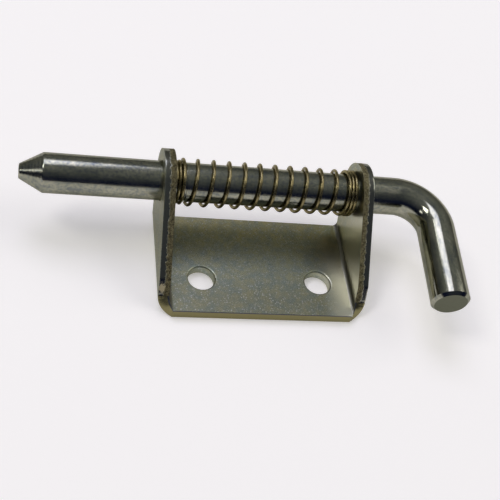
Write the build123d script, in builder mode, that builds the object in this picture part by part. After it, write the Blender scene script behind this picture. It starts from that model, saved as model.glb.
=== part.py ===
from build123d import *
import os
from math import asin, atan2, cos, hypot, radians, sin, sqrt, tan

# Spring bolt: a bent rod slides and turns in the two ears of a folded bracket.
# Millimetres. The origin lies midway between the mounting holes, on the mounting face.
# +X runs along the rod towards the handle, +Y from the holes towards the rod, +Z up.

# Bracket sheet
sheet = 3.6
bend_inside = 1.3
bracket_length = 69.0
base_depth = 38.0
relief_back = 4.5
relief_up = 4.0
relief_slope = 62.0
edge_roll = 0.5
ear_corner = 4.0

# Mounting holes
hole_spacing = 39.4
hole_dia = 8.8
hole_setback = 13.0
hole_rim = 0.6

# Ears, domed around the rod
axis_setback = 24.5
axis_rise = 21.6
dome_radius = 10.4

# Rod
rod_dia = 12.7
bore_clearance = 0.1
tip_reach = 43.8
nose_dia = 4.6
nose_round = 0.4
tip_half_angle = 29.0
bend_gap = 10.7
bend_radius = 13.1
bend_angle = 93.0
handle_length = 28.4
handle_drop = 3.0
handle_chamfer = 1.0

# Spring, wound left-handed, with small end coils that grip a groove in the rod
wire_dia = 1.1
coil_clearance = 0.35
seat_depth = 0.4
seat_clearance = 0.05
end_clearance = 0.05
coil_gap = 0.06
seat_turns = 2.1
active_turns = 11.1
closed_turns = 2.5
pitch_ramp = 0.5
coil_start = 145.0
points_per_turn = 14

# Places that several pieces share
outer_x = bracket_length / 2
bend_outer = bend_inside + sheet
inner_x = outer_x - sheet
front_y = -hole_setback
back_y = base_depth - hole_setback
rod_r = rod_dia / 2
wire_r = wire_dia / 2
ear_top = axis_rise + dome_radius
ear_back = axis_setback + dome_radius
side_plane = Plane.YZ.offset(-outer_x)
rod_plane = Plane((0, axis_setback, axis_rise), x_dir=(1, 0, 0), z_dir=(0, -1, 0))

# Spring coils
closed_pitch = wire_dia + coil_gap
seat_r = rod_r - seat_depth
grip_r = seat_r + seat_clearance + wire_r
coil_r = rod_r + coil_clearance + wire_r
coil_x = -inner_x + end_clearance + wire_r
coil_span = 2 * (inner_x - end_clearance - wire_r)
coil_turns = seat_turns + active_turns + closed_turns
active_pitch = closed_pitch + (coil_span - closed_pitch * coil_turns) / (active_turns - pitch_ramp)


def ease(share):
    """Runs smoothly from 0 to 1 while share goes from 0 to 1."""
    share = min(max(share, 0.0), 1.0)
    return share * share * (3 - 2 * share)


def pitch_at(turn):
    """Advance per turn: closed at both ends of the spring, open between them."""
    opened = ease((turn - seat_turns) / pitch_ramp)
    opened *= ease((coil_turns - closed_turns - turn) / pitch_ramp)
    return closed_pitch + (active_pitch - closed_pitch) * opened


def coil_points():
    """Points along the middle of the wire, from the rod's groove to the far ear."""
    steps = round(coil_turns * points_per_turn)
    step = coil_turns / steps
    x = coil_x
    points = []
    for index in range(steps + 1):
        turn = index * step
        radius = grip_r + (coil_r - grip_r) * ease((turn - seat_turns + 0.5) / pitch_ramp)
        angle = radians(coil_start - 360 * turn)
        points.append((x, axis_setback + radius * cos(angle), axis_rise + radius * sin(angle)))
        x += pitch_at(turn + step / 2) * step
    return points


def dome_tangent(y, side):
    """Where a straight ear edge from the base's top corner at y meets the dome."""
    run = axis_setback - y
    rise = axis_rise - sheet
    reach = hypot(run, rise)
    aim = atan2(rise, run) + side * asin(dome_radius / reach)
    length = sqrt(reach**2 - dome_radius**2)
    return (y + length * cos(aim), sheet + length * sin(aim))


# Bracket: one sheet folded into a channel, trimmed to the ears' outline
with BuildPart() as bracket:
    with BuildSketch(Plane.XZ.offset(-ear_back - sheet)):
        with BuildLine():
            inside = FilletPolyline(
                (-inner_x, ear_top + sheet),
                (-inner_x, sheet),
                (inner_x, sheet),
                (inner_x, ear_top + sheet),
                radius=bend_inside,
            )
            offset(inside, amount=sheet, side=Side.RIGHT)
        make_face()
    extrude(amount=ear_back - front_y + 2 * sheet)
    with BuildSketch(side_plane):
        with BuildLine():
            front = Polyline(dome_tangent(front_y, 1), (front_y, sheet), (front_y, 0), (back_y, 0))
            back = FilletPolyline((back_y, 0), (back_y, sheet), dome_tangent(back_y, -1), radius=ear_corner)
            TangentArc(back @ 1, front @ 0, tangent=back % 1)
        make_face()
    extrude(amount=bracket_length, mode=Mode.INTERSECT)
    for side in (-1, 1):
        rise = Vector(0, cos(radians(relief_slope)), sin(radians(relief_slope)))
        across = Vector(side * bend_outer, relief_back, relief_up)
        away = across.cross(rise) * side
        corner = (side * (outer_x - bend_outer), front_y, 0)
        split(bisect_by=Plane(corner, z_dir=away), keep=Keep.BOTTOM)
    with BuildSketch(side_plane):
        with Locations((axis_setback, axis_rise)):
            Circle(rod_r + bore_clearance)
    extrude(amount=bracket_length, mode=Mode.SUBTRACT)
    with Locations((0, 0, sheet)):
        with GridLocations(hole_spacing, 0, 2, 1):
            Hole(hole_dia / 2)
    rims = bracket.edges().filter_by(GeomType.CIRCLE)
    rims = rims.filter_by(lambda e: abs(e.radius - hole_dia / 2) < 1e-6)
    fillet(rims.group_by(Axis.Z)[-1], hole_rim)
    sides = bracket.faces().sort_by(Axis.X)
    underside = bracket.faces().sort_by(Axis.Z)[0]
    rolled = sides[0].outer_wire().edges() + sides[-1].outer_wire().edges()
    rolled -= bracket.edges().filter_by(Axis.Y)
    rolled.append(underside.outer_wire().edges().sort_by(Axis.Y)[0])
    fillet(rolled, edge_roll)
bracket.part.label = "bracket"

# Bolt: a turned shank with a coned tip and a spring groove, bent into a handle
tip_x = -outer_x - tip_reach
cone_length = (rod_r - nose_dia / 2) / tan(radians(tip_half_angle))
bend_x = outer_x + bend_gap
groove_start = -inner_x
groove_end = groove_start + end_clearance + (seat_turns + 0.5) * closed_pitch + wire_dia
drop = radians(handle_drop)
bend_start = (bend_x, axis_setback, axis_rise)
handle_plane = Plane(bend_start, x_dir=(1, 0, 0), z_dir=(0, sin(drop), -cos(drop)))

with BuildPart() as bolt:
    with BuildSketch(rod_plane):
        with BuildLine():
            Polyline(
                (tip_x, 0),
                (tip_x, nose_dia / 2),
                (tip_x + cone_length, rod_r),
                (groove_start, rod_r),
                (groove_start, seat_r),
                (groove_end, seat_r),
                (groove_end, rod_r),
                (bend_x, rod_r),
                (bend_x, 0),
                close=True,
            )
        make_face()
    revolve(axis=Axis((0, axis_setback, axis_rise), (1, 0, 0)))
    fillet(bolt.edges().sort_by(Axis.X)[0], nose_round)
    with BuildLine(handle_plane) as grip_path:
        bend = CenterArc((0, bend_radius), bend_radius, -90, bend_angle)
        PolarLine(bend @ 1, handle_length, direction=bend % 1)
    with BuildSketch(Plane(bend_start, z_dir=(1, 0, 0))):
        Circle(rod_r)
    sweep(path=grip_path.wire())
    grip_end = bolt.faces().sort_by(Axis.Y)[0]
    chamfer(grip_end.edges(), handle_chamfer)
bolt.part.label = "bolt"

# Spring: round wire swept along the coils
with BuildPart() as spring:
    with BuildLine() as coils:
        Spline(*coil_points())
    with BuildSketch(Plane(coils.line @ 0, z_dir=coils.line % 0)):
        Circle(wire_r)
    sweep(path=coils.line, is_frenet=True)
spring.part.label = "spring"

os.makedirs("parts", exist_ok=True)
export_step(bracket.part, "parts/bracket.step")
export_step(bolt.part, "parts/bolt.step")
export_step(spring.part, "parts/spring.step")
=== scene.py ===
import bpy
import bmesh
from math import asin, atan2, cos, hypot, pi, radians, sin, sqrt
from mathutils import Matrix, Quaternion, Vector, noise


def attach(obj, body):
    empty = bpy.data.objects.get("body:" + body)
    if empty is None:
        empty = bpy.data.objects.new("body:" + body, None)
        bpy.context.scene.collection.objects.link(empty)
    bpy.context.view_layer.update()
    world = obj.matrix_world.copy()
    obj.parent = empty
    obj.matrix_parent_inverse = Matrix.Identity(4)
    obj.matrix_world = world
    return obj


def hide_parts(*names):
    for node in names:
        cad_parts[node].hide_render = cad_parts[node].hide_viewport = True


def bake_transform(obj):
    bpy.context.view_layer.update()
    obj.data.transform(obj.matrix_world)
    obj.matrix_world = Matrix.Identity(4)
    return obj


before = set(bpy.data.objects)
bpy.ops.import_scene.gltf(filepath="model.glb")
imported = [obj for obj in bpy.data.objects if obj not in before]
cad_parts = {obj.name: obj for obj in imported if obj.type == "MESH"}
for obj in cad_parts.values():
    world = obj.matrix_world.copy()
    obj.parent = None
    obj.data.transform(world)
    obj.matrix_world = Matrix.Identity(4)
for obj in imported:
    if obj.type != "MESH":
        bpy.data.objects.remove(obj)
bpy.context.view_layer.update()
print("frame loaded, nodes:", sorted(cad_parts))

scene = bpy.context.scene
scene.view_settings.view_transform = "Standard"

# What the pieces share. Modelling is in millimetres, and a finished piece is scaled to metres.
shared = {
    "millimetre": 0.001,
    "axisY": 24.5,  # middle line of the rod, the bores and the spring
    "axisZ": 21.6,
    "merge": 1e-4,
    "shadingWeight": 80,
}


def finishPiece(bm, name, sharpAngle):
    bmesh.ops.scale(bm, vec=[shared["millimetre"]] * 3, verts=bm.verts[:])
    for face in bm.faces:
        face.smooth = True
    mesh = bpy.data.meshes.new(name)
    bm.to_mesh(mesh)
    bm.free()
    mesh.set_sharp_from_angle(angle=radians(sharpAngle))
    piece = bpy.data.objects.new(name, mesh)
    scene.collection.objects.link(piece)
    print(name, "has", len(mesh.polygons), "faces")
    return piece


# Broad faces stay flat beside the small rolled ones.
def evenShading(piece):
    weighted = piece.modifiers.new("evenShading", "WEIGHTED_NORMAL")
    weighted.keep_sharp = True
    weighted.weight = shared["shadingWeight"]


def vertsOf(items):
    return [item for item in items if isinstance(item, bmesh.types.BMVert)]


def edgesOf(items):
    return [item for item in items if isinstance(item, bmesh.types.BMEdge)]


def joinPoints(bm, points):
    for pair in zip(points, points[1:]):
        bm.edges.new(pair)


# Bent rod: a turned shank spun about its axis, then bent and drawn out into the handle
rodSize = {
    "axis": Vector((0.0, shared["axisY"], shared["axisZ"])),
    "radius": 6.35,
    "tip": -78.3,
    "nose": 2.3,
    "noseRound": 0.4,
    "shoulder": -70.99,
    "shoulderRound": 0.35,
    "roundSteps": 4,
    "turningLines": 6,
    "turningSamples": 4,  # points along the wave of each lathe line
    "turningDepth": 0.04,
    "grooveStart": -30.9,
    "grooveEnd": -26.73,
    "grooveDepth": 0.4,
    "bendStart": 45.2,
    "bendRadius": 13.1,
    "bendAngle": 93.0,
    "bendSteps": 40,
    "drop": 3.0,
    "handle": 28.4,
    "chamfer": 1.0,
    "endRings": 5,
    "endRough": 0.035,
    "endNoise": 1.4,
    "endFacing": 0.9,
    "round": 112,
    "slack": 0.1,
    "sharpAngle": 24.0,
}


# The straight rod with its cone and groove, spun from a profile and left open at the bend
def turnShank(bm, size):
    axis, radius = size["axis"], size["radius"]
    corners = [
        (size["tip"], 0.0),
        (size["tip"], size["nose"]),
        (size["shoulder"], radius),
        (size["grooveStart"], radius),
        (size["grooveStart"], radius - size["grooveDepth"]),
        (size["grooveEnd"], radius - size["grooveDepth"]),
        (size["grooveEnd"], radius),
        (size["bendStart"], radius),
    ]
    points = [bm.verts.new((x, axis.y, axis.z + r)) for x, r in corners]
    joinPoints(bm, points)
    for corner, offset in ((points[1], size["noseRound"]), (points[2], size["shoulderRound"])):
        bmesh.ops.bevel(bm, geom=[corner], offset=offset, affect="VERTICES",
                        segments=size["roundSteps"], profile=0.5, material=-1)

    # lathe lines across the cone
    slopes = [edge for edge in bm.edges
              if max(vert.co.x for vert in edge.verts) < size["shoulder"] + size["slack"]]
    slope = max(slopes, key=lambda edge: edge.calc_length())
    samples = size["turningSamples"]
    cone = bmesh.ops.subdivide_edges(bm, edges=[slope], cuts=samples * (size["turningLines"] + 1) - 1)
    lines = sorted(vertsOf(cone["geom_inner"]), key=lambda vert: vert.co.x)
    for index, vert in enumerate(lines):
        vert.co.z -= size["turningDepth"] * (0.5 + 0.5 * sin(2 * pi * index / samples))
    bmesh.ops.spin(bm, geom=bm.verts[:] + bm.edges[:], cent=axis, axis=(1, 0, 0), angle=2 * pi,
                   steps=size["round"], use_merge=True)
    bmesh.ops.remove_doubles(bm, verts=bm.verts[:], dist=shared["merge"])


# Where the bend starts, the middle of its arc, the way to it, and the axis that the rod is bent about
def bendPlan(size):
    drop = radians(size["drop"])
    towards = Vector((0.0, -cos(drop), -sin(drop)))
    turnAxis = Vector((0.0, sin(drop), -cos(drop)))
    start = Vector((size["bendStart"], size["axis"].y, size["axis"].z))
    return start, start + towards * size["bendRadius"], towards, turnAxis


# The handle, with its chamfered end and rings across the end face
def bendHandle(bm, size):
    radius = size["radius"]
    start, middle, _, turnAxis = bendPlan(size)
    ring = [edge for edge in bm.edges if edge.is_boundary]
    bent = bmesh.ops.spin(bm, geom=ring, cent=middle, axis=turnAxis, angle=radians(size["bendAngle"]),
                          steps=size["bendSteps"])
    ring = edgesOf(bent["geom_last"])
    bend = Quaternion(turnAxis, radians(size["bendAngle"]))
    along = bend @ Vector((1.0, 0.0, 0.0))
    endMiddle = middle + bend @ (start - middle)
    steps = [
        (size["handle"] - size["chamfer"], 1.0),
        (size["chamfer"], (radius - size["chamfer"]) / radius),
    ]
    steps += [(0.0, left / (left + 1.0)) for left in range(size["endRings"], 0, -1)]
    faceRings = []
    for length, share in steps:
        drawn = bmesh.ops.extrude_edge_only(bm, edges=ring)["geom"]
        ring, moved = edgesOf(drawn), vertsOf(drawn)
        bmesh.ops.translate(bm, vec=along * length, verts=moved)
        endMiddle = endMiddle + along * length
        bmesh.ops.scale(bm, vec=(share, share, share), space=Matrix.Translation(-endMiddle), verts=moved)
        if length == 0.0:
            faceRings += moved
    bmesh.ops.edgeloop_fill(bm, edges=ring)
    for vert in faceRings:
        vert.co += along * size["endRough"] * noise.noise(vert.co * size["endNoise"])
    bmesh.ops.recalc_face_normals(bm, faces=bm.faces[:])
    return along, endMiddle


# Place along and across the bar as it was before bending, so that drawn lines follow the bend
def markBar(bm, size):
    _, middle, towards, turnAxis = bendPlan(size)
    drawnPlace = bm.verts.layers.float_vector.new("drawnPlace")
    for vert in bm.verts:
        off = vert.co - middle
        out, ahead = -off.dot(towards), off.x
        turn = min(max(atan2(ahead, out), 0.0), radians(size["bendAngle"]))
        across = out * cos(turn) + ahead * sin(turn) - size["bendRadius"]
        length = size["bendRadius"] * turn + ahead * cos(turn) - out * sin(turn)
        vert[drawnPlace] = Vector((across, off.dot(turnAxis), length)) * shared["millimetre"]


# The cropped end is marked for the finish.
def markEnd(bm, size, along, endMiddle):
    cropped = bm.loops.layers.float.new("cropped")
    for face in bm.faces:
        nearEnd = (face.calc_center_median() - endMiddle).length < size["radius"]
        isEnd = nearEnd and face.normal.dot(along) > size["endFacing"]
        for loop in face.loops:
            loop[cropped] = 1.0 if isEnd else 0.0


def buildRod(size):
    bm = bmesh.new()
    turnShank(bm, size)
    along, endMiddle = bendHandle(bm, size)
    print("rod turned and bent, handle ends at", [round(number, 2) for number in endMiddle])
    markBar(bm, size)
    markEnd(bm, size, along, endMiddle)
    return finishPiece(bm, "rod", size["sharpAngle"])


rod = buildRod(rodSize)
evenShading(rod)


# Folded bracket: an outline is filled as a flat blank, folded, thickened and rolled at its edges
bracketSize = {
    "sheet": 3.6,
    "bendInside": 1.3,
    "halfInside": 30.9,
    "front": -13.0,
    "back": 25.0,
    "dome": 10.4,
    "domeSteps": 40,
    "bore": 6.45,
    "holeX": 19.7,
    "hole": 4.4,
    "holeRound": 80,
    "edgeStep": 0.6,
    "foldSteps": 10,
    "foldMerge": 1e-5,
    "cropBack": 4.6,
    "cropTop": 9.8,
    "roll": 0.55,
    "rollSteps": 4,
    "boreRoll": 0.9,
    "boreSteps": 5,
    "holeRoll": 0.6,
    "holeSteps": 5,
    "innerRoll": 0.4,
    "innerSteps": 2,
    "rimRows": 5,
    "rimRise": 0.4,  # a face that spans more of the sheet's depth lies on a cut edge
    "rimSlack": 0.2,
    "rowSlack": 0.02,
    "holeSlack": 0.1,
    "finishSlack": 0.05,
    "faceSlack": 0.03,
    "tearStart": 0.52,
    "tearEnd": 0.95,
    "tearDepth": 0.16,
    "tearMean": 0.45,
    "tearSwing": 0.55,
    "tearNoise": [(1.1, 0.6), (3.1, 0.4)],  # scale and weight of each layer
    "earMark": 0.2,
    "rolledMark": -0.5,
    "edgeMark": -1.0,
    "sharpAngle": 32.0,
}


# Half width of the flat base, length of a fold, and what turns an ear's height into a place on the blank
def foldPlan(size):
    flat = size["halfInside"] - size["bendInside"]
    fold = size["bendInside"] * pi / 2
    return flat, fold, flat + fold - size["sheet"] - size["bendInside"]


def domeTangent(size, y, side):
    run, rise = shared["axisY"] - y, shared["axisZ"] - size["sheet"]
    reach = hypot(run, rise)
    aim = atan2(rise, run) + side * asin(size["dome"] / reach)
    length = sqrt(reach**2 - size["dome"]**2)
    return y + length * cos(aim), size["sheet"] + length * sin(aim)


# Outline of the blank: one half is drawn and mirrored, then closed in front, behind and round the holes.
def outlineBlank(bm, size):
    sheet, merge = size["sheet"], shared["merge"]
    flat, fold, earShift = foldPlan(size)
    frontY, frontZ = domeTangent(size, size["front"], 1)
    backY, backZ = domeTangent(size, size["back"], -1)
    frontRun = (frontY - size["front"]) / (frontZ - sheet)
    backRun = (backY - size["back"]) / (backZ - sheet)
    half = [bm.verts.new(point) for point in (
        (flat, size["front"], 0),
        (flat + fold, size["front"] + size["cropBack"], 0),
        (size["cropTop"] + earShift, size["front"] + (size["cropTop"] - sheet) * frontRun, 0),
        (frontZ + earShift, frontY, 0),
    )]
    joinPoints(bm, half)
    pivot = Vector((shared["axisZ"] + earShift, shared["axisY"], 0))
    startTurn = Vector((frontZ + earShift, frontY, 0)) - pivot
    endTurn = Vector((backZ + earShift, backY, 0)) - pivot
    sweep = 2 * pi - startTurn.angle(endTurn)
    if startTurn.cross(endTurn).z > 0:
        sweep = 2 * pi - sweep
    dome = bmesh.ops.spin(bm, geom=[half[-1]], cent=pivot, axis=(0, 0, 1), angle=sweep,
                          steps=size["domeSteps"])
    tail = vertsOf(dome["geom_last"])[:1] + [bm.verts.new(point) for point in (
        (flat + fold, size["back"] + size["bendInside"] * backRun, 0),
        (flat, size["back"], 0),
    )]
    joinPoints(bm, tail)
    for edge in bm.edges[:]:
        cuts = int(edge.calc_length() / size["edgeStep"])
        if cuts:
            bmesh.ops.subdivide_edges(bm, edges=[edge], cuts=cuts)
    bmesh.ops.mirror(bm, geom=bm.verts[:] + bm.edges[:], axis="X", merge_dist=-1)
    for y in (size["front"], size["back"]):
        pair = [vert for vert in bm.verts
                if abs(vert.co.y - y) < merge and abs(abs(vert.co.x) - flat) < merge]
        edge = bm.edges.new(pair)
        bmesh.ops.subdivide_edges(bm, edges=[edge], cuts=int(2 * flat / size["edgeStep"]))
    for side in (-1, 1):
        for radius, x, y in ((size["bore"], pivot.x, pivot.y), (size["hole"], size["holeX"], 0)):
            bmesh.ops.create_circle(bm, cap_ends=False, radius=radius, segments=size["holeRound"],
                                    matrix=Matrix.Translation((side * x, y, 0)))


def foldBlank(bm, size):
    sheet, inner = size["sheet"], size["bendInside"]
    flat, fold, earShift = foldPlan(size)
    bmesh.ops.triangle_fill(bm, use_beauty=True, edges=bm.edges[:], normal=(0, 0, 1))
    for side in (-1, 1):
        for step in range(size["foldSteps"] + 1):
            line = side * (flat + fold * step / size["foldSteps"])
            bmesh.ops.bisect_plane(bm, geom=bm.verts[:] + bm.edges[:] + bm.faces[:],
                                   dist=size["foldMerge"], plane_co=(line, 0, 0), plane_no=(1, 0, 0))
    for vert in bm.verts:
        side = 1 if vert.co.x > 0 else -1
        out = abs(vert.co.x)
        if out <= flat:
            vert.co.z = sheet
        elif out <= flat + fold:
            turn = (out - flat) / inner
            vert.co.x = side * (flat + inner * sin(turn))
            vert.co.z = sheet + inner * (1 - cos(turn))
        else:
            vert.co.x = side * size["halfInside"]
            vert.co.z = out - earShift
    # the sheet's upper side faces up before it gets its thickness
    bmesh.ops.recalc_face_normals(bm, faces=bm.faces[:])
    centre = min(bm.faces, key=lambda face: abs(face.calc_center_median().x))
    if centre.normal.z < 0:
        bmesh.ops.reverse_faces(bm, faces=bm.faces[:])
    bmesh.ops.solidify(bm, geom=bm.verts[:] + bm.edges[:] + bm.faces[:], thickness=sheet)


# Depth in the sheet, from its upper and inner side
def depthOf(size, co):
    flat = foldPlan(size)[0]
    foldTop = size["sheet"] + size["bendInside"]
    out = abs(co.x)
    if co.z >= foldTop:
        return out - size["halfInside"]
    if out <= flat:
        return size["sheet"] - co.z
    return hypot(out - flat, foldTop - co.z) - size["bendInside"]


# Cut edges get rows for the torn band, then their rolled corners.
def rollEdges(bm, size):
    sheet = size["sheet"]

    def isRim(face):
        depths = [depthOf(size, vert.co) for vert in face.verts]
        return max(depths) - min(depths) > size["rimRise"]

    def spansSheet(edge):
        first, second = edge.verts
        return abs(depthOf(size, first.co) - depthOf(size, second.co)) > sheet - size["rimSlack"]

    rims = [face for face in bm.faces if isRim(face)]
    across = {edge for face in rims for edge in face.edges if spansSheet(edge)}
    bmesh.ops.subdivide_edges(bm, edges=list(across), cuts=size["rimRows"], use_grid_fill=True)

    def rimEdges(depth, test):
        found = []
        for edge in bm.edges:
            inRow = all(abs(depthOf(size, vert.co) - depth) < size["rowSlack"] for vert in edge.verts)
            if inRow and len(edge.link_faces) == 2:
                if isRim(edge.link_faces[0]) != isRim(edge.link_faces[1]) and test(edge):
                    found.append(edge)
        return found

    def atHole(edge):
        middle = (edge.verts[0].co + edge.verts[1].co) / 2
        away = hypot(abs(middle.x) - size["holeX"], middle.y)
        return away < size["hole"] + size["holeSlack"] and middle.z < sheet + size["holeSlack"]

    def atBore(edge):
        middle = (edge.verts[0].co + edge.verts[1].co) / 2
        away = hypot(middle.y - shared["axisY"], middle.z - shared["axisZ"])
        return away < size["bore"] + size["holeSlack"]

    def atOutline(edge):
        return not atHole(edge) and not atBore(edge)

    def awayFromHole(edge):
        return not atHole(edge)

    for depth, test, offset, segments in (
        (sheet, atOutline, size["roll"], size["rollSteps"]),
        (sheet, atBore, size["boreRoll"], size["boreSteps"]),
        (sheet, atHole, size["innerRoll"], size["innerSteps"]),
        (0.0, atHole, size["holeRoll"], size["holeSteps"]),
        (0.0, awayFromHole, size["innerRoll"], size["innerSteps"]),
    ):
        bmesh.ops.bevel(bm, geom=rimEdges(depth, test), offset=offset, affect="EDGES", segments=segments,
                        profile=0.5, material=-1, clamp_overlap=True)


# The inner half of the ears' cut edges is torn.
def tearEdges(bm, size):
    bm.normal_update()
    earStart = 2 * size["sheet"] + size["bendInside"]
    for vert in bm.verts:
        share = 1 - depthOf(size, vert.co) / size["sheet"]
        if size["tearStart"] < share < size["tearEnd"] and vert.co.z > earStart:
            rough = sum(noise.noise(vert.co * scale) * weight for scale, weight in size["tearNoise"])
            vert.co -= vert.normal * size["tearDepth"] * (size["tearMean"] + size["tearSwing"] * rough)
    bmesh.ops.recalc_face_normals(bm, faces=bm.faces[:])


# Marks for the finish: a share across the cut edges of the ears, a sign below 0 on the other cut edges
def markEdges(bm, size):
    sheet = size["sheet"]
    cutShare = bm.loops.layers.float.new("cutShare")
    for face in bm.faces:
        middle = face.calc_center_median()
        depth = depthOf(size, middle)
        fromHole = hypot(abs(middle.x) - size["holeX"], middle.y)
        onHole = fromHole < size["hole"] + size["holeRoll"] + size["finishSlack"]
        onEdge = size["faceSlack"] < depth < sheet - size["faceSlack"] and not onHole
        onEar = middle.z > sheet + size["bendInside"]
        sign = size["rolledMark"] if depth < size["innerRoll"] else size["edgeMark"]
        for loop in face.loops:
            if onEdge and onEar:
                share = min(max(1 - depthOf(size, loop.vert.co) / sheet, 0), 1)
                loop[cutShare] = size["earMark"] + (1 - size["earMark"]) * share
            else:
                loop[cutShare] = sign if onEdge else 0.0


def buildBracket(size):
    bm = bmesh.new()
    outlineBlank(bm, size)
    foldBlank(bm, size)
    print("bracket folded and thickened to", round(max(vert.co.x for vert in bm.verts), 3), "mm")
    rollEdges(bm, size)
    tearEdges(bm, size)
    markEdges(bm, size)
    return finishPiece(bm, "foldedBracket", size["sharpAngle"])


bracket = buildBracket(bracketSize)
evenShading(bracket)


# Coil spring: a round wire section drawn along the coils step by step
springSize = {
    "axis": Vector((0.0, shared["axisY"], shared["axisZ"])),
    "wire": 0.55,
    "gripRadius": 6.55,
    "coilRadius": 7.25,
    "startX": -30.3,
    "span": 60.6,
    "closedPitch": 1.16,
    "seatTurns": 2.1,
    "activeTurns": 11.1,
    "closedTurns": 2.5,
    "ramp": 0.5,
    "growLead": 0.5,  # the coils widen this many turns before the pitch opens
    "startAngle": 145.0,
    "stepsPerTurn": 40,
    "wireSides": 14,
    "sharpAngle": 40.0,
}


def ease(share):
    share = min(max(share, 0.0), 1.0)
    return share * share * (3 - 2 * share)


# Middle line of the wire: place, outward direction, and the share of the rod's travel that it keeps
def coilLine(size):
    turns = size["seatTurns"] + size["activeTurns"] + size["closedTurns"]
    spare = size["span"] - size["closedPitch"] * turns
    openPitch = size["closedPitch"] + spare / (size["activeTurns"] - size["ramp"])
    steps = round(turns * size["stepsPerTurn"])
    stepTurns = turns / steps
    line, shares = [], []
    x, share = size["startX"], 0.0
    for index in range(steps + 1):
        turn = index * stepTurns
        grown = ease((turn - size["seatTurns"] + size["growLead"]) / size["ramp"])
        radius = size["gripRadius"] + (size["coilRadius"] - size["gripRadius"]) * grown
        angle = radians(size["startAngle"] - 360 * turn)
        outwards = Vector((0.0, cos(angle), sin(angle)))
        line.append((Vector((x, 0, 0)) + size["axis"] + outwards * radius, outwards))
        shares.append(share)
        halfway = turn + stepTurns / 2
        opened = ease((halfway - size["seatTurns"]) / size["ramp"])
        opened *= ease((turns - size["closedTurns"] - halfway) / size["ramp"])
        x += (size["closedPitch"] + (openPitch - size["closedPitch"]) * opened) * stepTurns
        share += opened * stepTurns
    return line, [1 - value / shares[-1] for value in shares]


def buildSpring(size):
    line, shares = coilLine(size)
    last = len(line) - 1

    def section(index):
        place, outwards = line[index]
        ahead = line[min(index + 1, last)][0] - line[max(index - 1, 0)][0]
        ahead.normalize()
        side = ahead.cross(outwards).normalized()
        upright = side.cross(ahead)
        turned = Matrix((upright, side, ahead)).transposed().to_4x4()
        return Matrix.Translation(place) @ turned

    bm = bmesh.new()
    travel = bm.verts.layers.float.new("travelShare")
    ring = bmesh.ops.create_circle(bm, cap_ends=False, radius=size["wire"], segments=size["wireSides"],
                                   matrix=section(0))["verts"]
    for vert in ring:
        vert[travel] = shares[0]
    edges = bm.edges[:]
    bmesh.ops.edgeloop_fill(bm, edges=edges)
    for index in range(1, last + 1):
        drawn = bmesh.ops.extrude_edge_only(bm, edges=edges)["geom"]
        edges, ring = edgesOf(drawn), vertsOf(drawn)
        bmesh.ops.transform(bm, matrix=section(index) @ section(index - 1).inverted(), verts=ring)
        for vert in ring:
            vert[travel] = shares[index]
    bmesh.ops.edgeloop_fill(bm, edges=edges)
    bmesh.ops.recalc_face_normals(bm, faces=bm.faces[:])
    return finishPiece(bm, "coilSpring", size["sharpAngle"])


spring = buildSpring(springSize)


# Finishes: all three are plated metal, so they share a tint towards the edges of round shapes.
plating = {
    "edgeTint": (0.6, 0.6, 0.55, 1.0),
    "noiseSpan": (0.3, 0.7),  # most of a noise pattern lies in here
    "whole": (0.0, 1.0),
}


def startFinish(name):
    material = bpy.data.materials.new(name)
    material.use_nodes = True
    shader = material.node_tree.nodes["Principled BSDF"]
    shader.inputs["Metallic"].default_value = 1.0
    shader.inputs["Specular Tint"].default_value = plating["edgeTint"]
    return material, material.node_tree, shader


def addPlace(tree):
    return tree.nodes.new("ShaderNodeTexCoord").outputs["Object"]


def addAttribute(tree, name, output):
    node = tree.nodes.new("ShaderNodeAttribute")
    node.attribute_name = name
    return node.outputs[output]


def addNoise(tree, place, pattern):
    node = tree.nodes.new("ShaderNodeTexNoise")
    for socket, number in zip(("Scale", "Detail", "Roughness"), pattern):
        node.inputs[socket].default_value = number
    tree.links.new(place, node.inputs["Vector"])
    return node.outputs["Fac"]


def addStretch(tree, place, scale):
    node = tree.nodes.new("ShaderNodeMapping")
    node.inputs["Scale"].default_value = scale
    tree.links.new(place, node.inputs["Vector"])
    return node.outputs["Vector"]


def addSplit(tree, place):
    node = tree.nodes.new("ShaderNodeSeparateXYZ")
    tree.links.new(place, node.inputs["Vector"])
    return node.outputs


def addDistance(tree, place, point):
    node = tree.nodes.new("ShaderNodeVectorMath")
    node.operation = "DISTANCE"
    tree.links.new(place, node.inputs[0])
    node.inputs[1].default_value = point
    return node.outputs["Value"]


def addRamp(tree, value, stops):
    node = tree.nodes.new("ShaderNodeValToRGB")
    ramp = node.color_ramp
    while len(ramp.elements) < len(stops):
        ramp.elements.new(0.5)
    for element, (position, colour) in zip(ramp.elements, stops):
        element.position = position
        element.color = (*colour, 1.0)
    tree.links.new(value, node.inputs["Fac"])
    return node.outputs["Color"]


def addRange(tree, value, span, target=plating["whole"], smooth=False):
    node = tree.nodes.new("ShaderNodeMapRange")
    node.interpolation_type = "SMOOTHSTEP" if smooth else "LINEAR"
    for socket, number in zip(("From Min", "From Max", "To Min", "To Max"), (*span, *target)):
        node.inputs[socket].default_value = number
    tree.links.new(value, node.inputs["Value"])
    return node.outputs["Result"]


def addMath(tree, operation, first, second):
    node = tree.nodes.new("ShaderNodeMath")
    node.operation = operation
    for socket, value in zip(node.inputs, (first, second)):
        if isinstance(value, (int, float)):
            socket.default_value = value
        else:
            tree.links.new(value, socket)
    return node.outputs["Value"]


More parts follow.
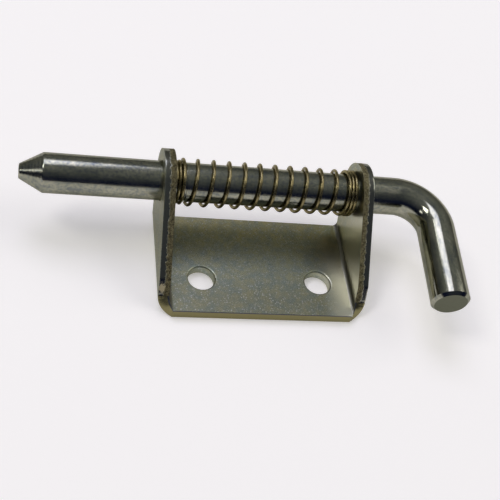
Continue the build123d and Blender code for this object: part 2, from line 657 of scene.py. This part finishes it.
def addMix(tree, share, first, second, blendType="MIX"):
    node = tree.nodes.new("ShaderNodeMix")
    node.data_type = "RGBA"
    node.blend_type = blendType
    if isinstance(share, float):
        node.inputs["Factor"].default_value = share
    else:
        tree.links.new(share, node.inputs["Factor"])
    for socket, colour in ((node.inputs["A"], first), (node.inputs["B"], second)):
        if isinstance(colour, tuple):
            socket.default_value = (*colour, 1.0)
        else:
            tree.links.new(colour, socket)
    return node.outputs["Result"]


def addBump(tree, height, distance, strength, before=None):
    node = tree.nodes.new("ShaderNodeBump")
    node.inputs["Distance"].default_value = distance
    node.inputs["Strength"].default_value = strength
    tree.links.new(height, node.inputs["Height"])
    if before is not None:
        tree.links.new(before, node.inputs["Normal"])
    return node.outputs["Normal"]


# Moves a roughness towards another one by a share
def addTowards(tree, share, gloss, other):
    apart = addMath(tree, "SUBTRACT", other, gloss)
    return addMath(tree, "ADD", gloss, addMath(tree, "MULTIPLY", share, apart))


# A pattern is its scale, detail and roughness. A span runs from where a look starts to where it is full.
platedSheet = {
    "pale": (0.335, 0.321, 0.207),
    "dull": (0.252, 0.274, 0.227),
    "mottle": (330, 6, 0.62),
    "mottleSpan": (0.38, 0.62),
    # painted light: the base darker in front and lighter, yellower at the back
    "paintedBaseLight": [(0.15, (0.86, 0.87, 0.85)), (0.5, (1.1, 1.16, 1.2)), (0.66, (1.16, 1.2, 1.2)),
               (0.9, (1.32, 1.24, 1.02))],
    "paintedBaseLightSpan": (-0.013, 0.025),
    "baseSpan": (0.0075, 0.0045),
    # painted glints
    "paintedGlint": (0.55, 0.555, 0.515),
    "glintCellScale": 1550,
    "glintPicked": (0.4, 0.9),
    "glintDot": (0.55, 0.1),
    # painted gleam, a painted highlight beside the right fold
    "paintedGleam": (0.66, 0.645, 0.51),
    "paintedGleamAcross": (0.019, 0.029),
    "paintedGleamAlong": (0.026, 0.008),
    # painted shade in the crease inside each fold
    "paintedCreaseShade": (0.16, 0.155, 0.12),
    "creasePlace": (0.0305, 0.0, 0.004),
    "creaseSpan": (0.001, 0.0006),
    "creaseRough": 0.4,
    "sheared": (0.2, 0.2, 0.17),
    "shearedSpan": (0.15, 0.3),
    "shearedRough": 0.12,
    "tear": (900, 3, 0.55),
    "tearWander": 0.08,
    "tornSpan": (0.55, 0.66),
    "tornDark": (0.085, 0.074, 0.043),
    "tornPale": (0.32, 0.285, 0.16),
    "tornColours": (0.4, 0.62),
    "tornRough": 0.4,
    "tornDepth": 0.0003,
    "tornStrength": 0.8,
    # painted dark reflection on the rolled rims of the base's cut edges
    "paintedRimReflection": (0.06, 0.065, 0.085),
    "paintedRimReflectionSpan": (-0.2, -0.4),
    "paintedRimReflectionShare": 0.9,
    "edge": (0.25, 0.225, 0.11),
    "edgeSpan": (-0.6, -0.8),
    "chip": (0.55, 0.48, 0.3),
    "chips": (1700, 4, 0.7),
    "chipPlace": (-0.0334, -0.0072, 0.0074),
    "chipSize": 0.0011,
    "chipCore": 0.7,
    "chipRagged": 0.5,
    "chipTall": 0.5,
    "chipRough": 0.5,
    "grain": (7000, 2, 0.55),
    "grainSpan": (0.35, 0.65),
    "smooth": 0.22,
    "rough": 0.6,
    "pressedRough": 0.29,
    "pressSpan": (0.012, 0.03),
    "pits": (2600, 3, 0.7),
    "pitDepth": 0.00002,
    "pitStrength": 0.35,
}


# Colour of the plating, with painted light on the base and painted glints, before the painted gleam, the
# painted crease shade and the cut edges
def addPlatingAndPaintedLight(tree, place, split, look):
    dullEnd, paleStart = look["mottleSpan"]
    mottle = addNoise(tree, place, look["mottle"])
    colour = addRamp(tree, mottle, [(dullEnd, look["dull"]), (paleStart, look["pale"])])

    # painted light on the base: its colour is painted darker in front and lighter and yellower at the
    # back
    depth = addRange(tree, split["Y"], look["paintedBaseLightSpan"])
    onBase = addRange(tree, split["Z"], look["baseSpan"], smooth=True)
    paintedBaseLight = addMix(tree, 1.0, colour, addRamp(tree, depth, look["paintedBaseLight"]), "MULTIPLY")
    colour = addMix(tree, onBase, colour, paintedBaseLight)

    # painted glints: a pale dot painted in some of the cells
    cells = tree.nodes.new("ShaderNodeTexVoronoi")
    cells.inputs["Scale"].default_value = look["glintCellScale"]
    tree.links.new(place, cells.inputs["Vector"])
    picked = addRange(tree, cells.outputs["Color"], look["glintPicked"])
    dot = addRange(tree, cells.outputs["Distance"], look["glintDot"], smooth=True)
    return addMix(tree, addMath(tree, "MULTIPLY", picked, dot), colour, look["paintedGlint"])


# Share for the crease inside each fold, where shade is painted in and the sheet is rougher
def addCreaseShare(tree, place, look):
    bothSides = tree.nodes.new("ShaderNodeVectorMath")
    bothSides.operation = "ABSOLUTE"
    tree.links.new(addStretch(tree, place, (1.0, 0.0, 1.0)), bothSides.inputs[0])
    fromFold = addDistance(tree, bothSides.outputs["Vector"], look["creasePlace"])
    return addRange(tree, fromFold, look["creaseSpan"], smooth=True)


# One worn chip at the foot of the left ear, taller than wide
def addChip(tree, place, chips, look):
    chipX, chipY, chipZ = look["chipPlace"]
    squashed = addStretch(tree, place, (1.0, 1.0, look["chipTall"]))
    fromChip = addDistance(tree, squashed, (chipX, chipY, chipZ * look["chipTall"]))
    raggedBy = look["chipRagged"] * look["chipSize"]
    ragged = addRange(tree, chips, plating["noiseSpan"], (-raggedBy, raggedBy))
    chipSpan = (look["chipSize"], look["chipCore"] * look["chipSize"])
    return addRange(tree, addMath(tree, "ADD", fromChip, ragged), chipSpan, smooth=True)


def buildPlatedSheet(look):
    material, tree, shader = startFinish("platedSheet")
    place = addPlace(tree)
    split = addSplit(tree, place)
    colour = addPlatingAndPaintedLight(tree, place, split, look)

    # the folding tool has pressed the sheet smooth beside the right fold; a painted gleam, a painted
    # highlight, lightens the base beside that fold towards the front
    pressed = addRange(tree, split["X"], look["pressSpan"], smooth=True)
    gleamStrip = addRange(tree, split["X"], look["paintedGleamAcross"], smooth=True)
    gleamForward = addRange(tree, split["Y"], look["paintedGleamAlong"], smooth=True)
    colour = addMix(tree, addMath(tree, "MULTIPLY", gleamStrip, gleamForward), colour, look["paintedGleam"])

    creaseShare = addCreaseShare(tree, place, look)
    # painted shade darkens the crease inside each fold
    colour = addMix(tree, creaseShare, colour, look["paintedCreaseShade"])

    # cut edges: on the ears the outer half is sheared smooth and the inner half torn
    cut = addAttribute(tree, "cutShare", "Fac")
    wander = (-look["tearWander"], look["tearWander"])
    ragged = addRange(tree, addNoise(tree, place, look["tear"]), plating["noiseSpan"], wander)
    torn = addRange(tree, addMath(tree, "ADD", cut, ragged), look["tornSpan"], smooth=True)
    sheared = addMath(tree, "SUBTRACT", addRange(tree, cut, look["shearedSpan"]), torn)
    chips = addNoise(tree, place, look["chips"])
    darkEnd, paleStart = look["tornColours"]
    tornColour = addRamp(tree, chips, [(darkEnd, look["tornDark"]), (paleStart, look["tornPale"])])
    colour = addMix(tree, sheared, colour, look["sheared"])
    colour = addMix(tree, torn, colour, tornColour)
    # painted reflection: the rolled rims of the base's cut edges are painted dark
    paintedRimShare = addRange(tree, cut, look["paintedRimReflectionSpan"], (0.0, look["paintedRimReflectionShare"]))
    colour = addMix(tree, paintedRimShare, colour, look["paintedRimReflection"])
    colour = addMix(tree, addRange(tree, cut, look["edgeSpan"]), colour, look["edge"])

    worn = addChip(tree, place, chips, look)
    colour = addMix(tree, worn, colour, look["chip"])
    tree.links.new(colour, shader.inputs["Base Color"])

    grain = addNoise(tree, place, look["grain"])
    gloss = addRange(tree, grain, look["grainSpan"], (look["smooth"], look["rough"]))
    gloss = addTowards(tree, pressed, gloss, look["pressedRough"])
    gloss = addMath(tree, "MAXIMUM", gloss, addMath(tree, "MULTIPLY", creaseShare, look["creaseRough"]))
    gloss = addTowards(tree, sheared, gloss, look["shearedRough"])
    gloss = addMath(tree, "ADD", gloss, addMath(tree, "MULTIPLY", torn, look["tornRough"]))
    gloss = addMath(tree, "MAXIMUM", gloss, addMath(tree, "MULTIPLY", worn, look["chipRough"]))
    tree.links.new(gloss, shader.inputs["Roughness"])

    pits = addBump(tree, addNoise(tree, place, look["pits"]), look["pitDepth"], look["pitStrength"])
    tornGrain = addMath(tree, "MULTIPLY", chips, torn)
    relief = addBump(tree, tornGrain, look["tornDepth"], look["tornStrength"], pits)
    tree.links.new(relief, shader.inputs["Normal"])
    return material


platedRod = {
    "pale": (0.37, 0.36, 0.285),
    "middle": (0.29, 0.29, 0.225),
    "dull": (0.19, 0.2, 0.18),
    "blotch": (420, 5, 0.65),
    "blotchStretch": (1.0, 1.0, 0.35),
    "blotchStops": (0.33, 0.48, 0.66),
    "stain": (0.66, 0.7, 0.8),
    "clear": (1.0, 1.0, 0.97),
    "stains": (1150, 4, 0.6),
    "stainSpan": (0.36, 0.56),
    "handleStain": 0.35,
    "shankSpan": (0.012, -0.012),
    "shankRough": 0.08,
    "end": (0.13, 0.136, 0.10),
    "endRough": 0.25,
    "speckle": (3200, 3, 0.6),
    "speckleSpan": (0.35, 0.65),
    "smooth": 0.06,
    "rough": 0.16,
    "speckleDepth": 0.000014,
    "speckleStrength": 0.6,
    "drawn": (1500, 3, 0.55),
    "drawnStretch": (1.0, 1.0, 0.03),
    "drawnDepth": 0.00004,
    "drawnStrength": 0.5,
}


def buildPlatedRod(look):
    material, tree, shader = startFinish("platedRod")
    bar = addAttribute(tree, "drawnPlace", "Vector")
    blotch = addNoise(tree, addStretch(tree, bar, look["blotchStretch"]), look["blotch"])
    blotchColours = (look["dull"], look["middle"], look["pale"])
    colour = addRamp(tree, blotch, list(zip(look["blotchStops"], blotchColours)))

    # the sliding shank is duller and more stained than the handle
    shank = addRange(tree, addSplit(tree, bar)["Z"], look["shankSpan"], smooth=True)
    stainEnd, clearStart = look["stainSpan"]
    stains = addNoise(tree, bar, look["stains"])
    stain = addRamp(tree, stains, [(stainEnd, look["stain"]), (clearStart, look["clear"])])
    stained = addMix(tree, 1.0, colour, stain, "MULTIPLY")
    stainShare = addRange(tree, shank, plating["whole"], (look["handleStain"], 1.0))
    colour = addMix(tree, stainShare, colour, stained)
    end = addAttribute(tree, "cropped", "Fac")
    colour = addMix(tree, end, colour, look["end"])
    tree.links.new(colour, shader.inputs["Base Color"])

    speckle = addNoise(tree, bar, look["speckle"])
    gloss = addRange(tree, speckle, look["speckleSpan"], (look["smooth"], look["rough"]))
    gloss = addMath(tree, "ADD", gloss, addMath(tree, "MULTIPLY", shank, look["shankRough"]))
    gloss = addMath(tree, "ADD", gloss, addMath(tree, "MULTIPLY", end, look["endRough"]))
    tree.links.new(gloss, shader.inputs["Roughness"])

    fine = addBump(tree, speckle, look["speckleDepth"], look["speckleStrength"])
    drawn = addNoise(tree, addStretch(tree, bar, look["drawnStretch"]), look["drawn"])
    relief = addBump(tree, drawn, look["drawnDepth"], look["drawnStrength"], fine)
    tree.links.new(relief, shader.inputs["Normal"])
    return material


goldenWire = {
    "pale": (0.30, 0.255, 0.13),
    "dull": (0.19, 0.155, 0.075),
    "cloud": (420, 4, 0.55),
    "cloudSpan": (0.35, 0.65),
    "speckle": (3000, 2, 0.55),
    "smooth": 0.2,
    "rough": 0.32,
    "speckleDepth": 0.00002,
    "speckleStrength": 0.3,
}


def buildGoldenWire(look):
    material, tree, shader = startFinish("goldenWire")
    place = addPlace(tree)
    dullEnd, paleStart = look["cloudSpan"]
    cloud = addNoise(tree, place, look["cloud"])
    colour = addRamp(tree, cloud, [(dullEnd, look["dull"]), (paleStart, look["pale"])])
    tree.links.new(colour, shader.inputs["Base Color"])
    speckle = addNoise(tree, place, look["speckle"])
    gloss = addRange(tree, speckle, plating["noiseSpan"], (look["smooth"], look["rough"]))
    tree.links.new(gloss, shader.inputs["Roughness"])
    relief = addBump(tree, speckle, look["speckleDepth"], look["speckleStrength"])
    tree.links.new(relief, shader.inputs["Normal"])
    return material


for piece, material in (
    (rod, buildPlatedRod(platedRod)),
    (bracket, buildPlatedSheet(platedSheet)),
    (spring, buildGoldenWire(goldenWire)),
):
    piece.data.materials.append(material)
print("finishes made")

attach(rod, "bolt")
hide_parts("bolt")
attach(bracket, "bracket")
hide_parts("bracket")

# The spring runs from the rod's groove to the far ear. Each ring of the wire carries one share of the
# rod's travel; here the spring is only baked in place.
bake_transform(spring)
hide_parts("spring")
print("pieces ride on their bodies")

# Studio: a pale floor, a dark room in front, a lit wall behind, and five soft lamps: a large one
# overhead, a small one that gleams in the right fold, and one each for the left side, the cone and
# the right side
studio = {
    "floorSize": 12.0,
    "floorDrop": 0.0002,
    "floorColour": (0.885, 0.86, 0.845),
    "floorGlow": 0.36,
    "front": [(0.03, (0.47, 0.46, 0.46)), (0.045, (0.012, 0.017, 0.05)),
              (0.31, (0.012, 0.017, 0.05)), (0.47, (0.048, 0.055, 0.08)), (0.62, (0.08, 0.088, 0.11)),
              (0.76, (0.12, 0.13, 0.142)), (0.94, (0.2, 0.212, 0.22)), (1.0, (0.27, 0.28, 0.28))],
    "back": [(0.03, (0.47, 0.46, 0.46)), (0.045, (0.27, 0.27, 0.25)), (0.12, (0.17, 0.17, 0.16)),
             (0.42, (0.195, 0.2, 0.195)), (0.68, (0.25, 0.26, 0.255)), (0.77, (0.262, 0.275, 0.27)),
             (0.9, (0.28, 0.29, 0.3)), (1.0, (0.28, 0.29, 0.29))],
    "frontToBack": (-0.3, 0.3),
    "leftShade": [(0.1, (0.5, 0.52, 0.55)), (0.22, (1.0, 1.0, 1.0))],
    "lamps": [
        {"name": "keyLamp", "place": (-0.37, 0.955, 2.0), "aim": (-0.37, 0.955, 0.0), "turn": -16.0,
         "width": 1.02, "depth": 1.18, "power": 12.4, "colour": (0.8, 0.795, 1.0)},
        {"name": "cornerLamp", "place": (-0.98, 1.54, 2.0), "aim": (-0.98, 1.54, 0.0), "turn": 0.0,
         "width": 0.28, "depth": 0.42, "power": 1.25, "colour": (0.9, 0.92, 1.0)},
        {"name": "leftLamp", "place": (-0.8, 0.0, 1.2), "aim": (0.0, 0.0, 0.02), "turn": 0.0,
         "width": 0.36, "depth": 0.36, "power": 3.8, "colour": (1.0, 0.98, 0.95)},
        {"name": "windowLamp", "place": (-1.05, -0.27, 0.62), "aim": (-0.07, 0.02, 0.02), "turn": 0.0,
         "width": 0.24, "depth": 0.24, "power": 0.5, "colour": (1.0, 0.98, 1.0)},
        {"name": "rightLamp", "place": (1.05, 0.1, 0.95), "aim": (0.0, 0.0, 0.02), "turn": 0.0,
         "width": 1.0, "depth": 1.0, "power": 5.5, "colour": (1.0, 0.98, 0.95)},
    ],
}


def buildFloor(look):
    bm = bmesh.new()
    bmesh.ops.create_grid(bm, x_segments=2, y_segments=2, size=look["floorSize"] / 2)
    bmesh.ops.translate(bm, vec=(0, 0, -look["floorDrop"]), verts=bm.verts[:])
    mesh = bpy.data.meshes.new("floor")
    bm.to_mesh(mesh)
    bm.free()
    floor = bpy.data.objects.new("floor", mesh)
    scene.collection.objects.link(floor)
    material = bpy.data.materials.new("paleFloor")
    material.use_nodes = True
    tree = material.node_tree
    shader = tree.nodes["Principled BSDF"]
    shader.inputs["Roughness"].default_value = 1.0
    shader.inputs["Specular IOR Level"].default_value = 0.0
    shader.inputs["Base Color"].default_value = (*look["floorColour"], 1.0)
    shader.inputs["Emission Color"].default_value = (*look["floorColour"], 1.0)
    # the floor's own glow is for the eye and for mirror views, and lights nothing
    rays = tree.nodes.new("ShaderNodeLightPath").outputs
    mirrored = addMath(tree, "MAXIMUM", rays["Is Glossy Ray"], rays["Is Transmission Ray"])
    seen = addMath(tree, "MAXIMUM", rays["Is Camera Ray"], mirrored)
    glow = addMath(tree, "MULTIPLY", seen, look["floorGlow"])
    tree.links.new(glow, shader.inputs["Emission Strength"])
    mesh.materials.append(material)


# Both rooms change with the height of the view, and the left side is shaded.
def buildWorld(look):
    world = bpy.data.worlds.new("studio")
    scene.world = world
    world.use_nodes = True
    tree = world.node_tree
    tree.nodes.clear()
    output = tree.nodes.new("ShaderNodeOutputWorld")
    background = tree.nodes.new("ShaderNodeBackground")
    view = addSplit(tree, tree.nodes.new("ShaderNodeTexCoord").outputs["Generated"])
    front = addRamp(tree, view["Z"], look["front"])
    back = addRamp(tree, view["Z"], look["back"])
    behind = addRange(tree, view["Y"], look["frontToBack"], smooth=True)
    around = addMix(tree, behind, front, back)
    shade = addRamp(tree, addRange(tree, view["X"], (-1.0, 1.0)), look["leftShade"])
    tree.links.new(addMix(tree, 1.0, around, shade, "MULTIPLY"), background.inputs["Color"])
    tree.links.new(background.outputs["Background"], output.inputs["Surface"])


def buildLamps(look):
    for lamp in look["lamps"]:
        light = bpy.data.lights.new(lamp["name"], "AREA")
        light.shape = "RECTANGLE"
        light.size = lamp["width"]
        light.size_y = lamp["depth"]
        light.energy = lamp["power"]
        light.color = lamp["colour"]
        holder = bpy.data.objects.new(lamp["name"], light)
        holder.location = lamp["place"]
        aim = Vector(lamp["aim"]) - Vector(lamp["place"])
        holder.rotation_mode = "QUATERNION"
        turned = Quaternion((0, 0, 1), radians(lamp["turn"]))
        holder.rotation_quaternion = aim.to_track_quat("-Z", "Y") @ turned
        scene.collection.objects.link(holder)


buildFloor(studio)
buildWorld(studio)
buildLamps(studio)
print("studio lit")

# Camera at the photograph's angle
cameraView = {
    "target": Vector((-0.00479, 0.00595, 0.01175)),
    "azimuth": -22.92,
    "elevation": 50.07,
    "roll": 20.82,
    "distance": 0.28515,
    "lens": 63.54,
    "sensor": 36.0,
    "nearest": 0.01,
    "farthest": 50.0,
}


def buildCamera(view):
    turn, lift = radians(view["azimuth"]), radians(view["elevation"])
    back = Vector((sin(turn) * cos(lift), -cos(turn) * cos(lift), sin(lift)))
    data = bpy.data.cameras.new("camera")
    data.sensor_width = view["sensor"]
    data.lens = view["lens"]
    data.clip_start = view["nearest"]
    data.clip_end = view["farthest"]
    camera = bpy.data.objects.new("camera", data)
    camera.location = view["target"] + back * view["distance"]
    camera.rotation_mode = "QUATERNION"
    level = (-back).to_track_quat("-Z", "Y")
    camera.rotation_quaternion = level @ Quaternion((0, 0, 1), radians(view["roll"]))
    scene.collection.objects.link(camera)
    scene.camera = camera


buildCamera(cameraView)
print("camera set")
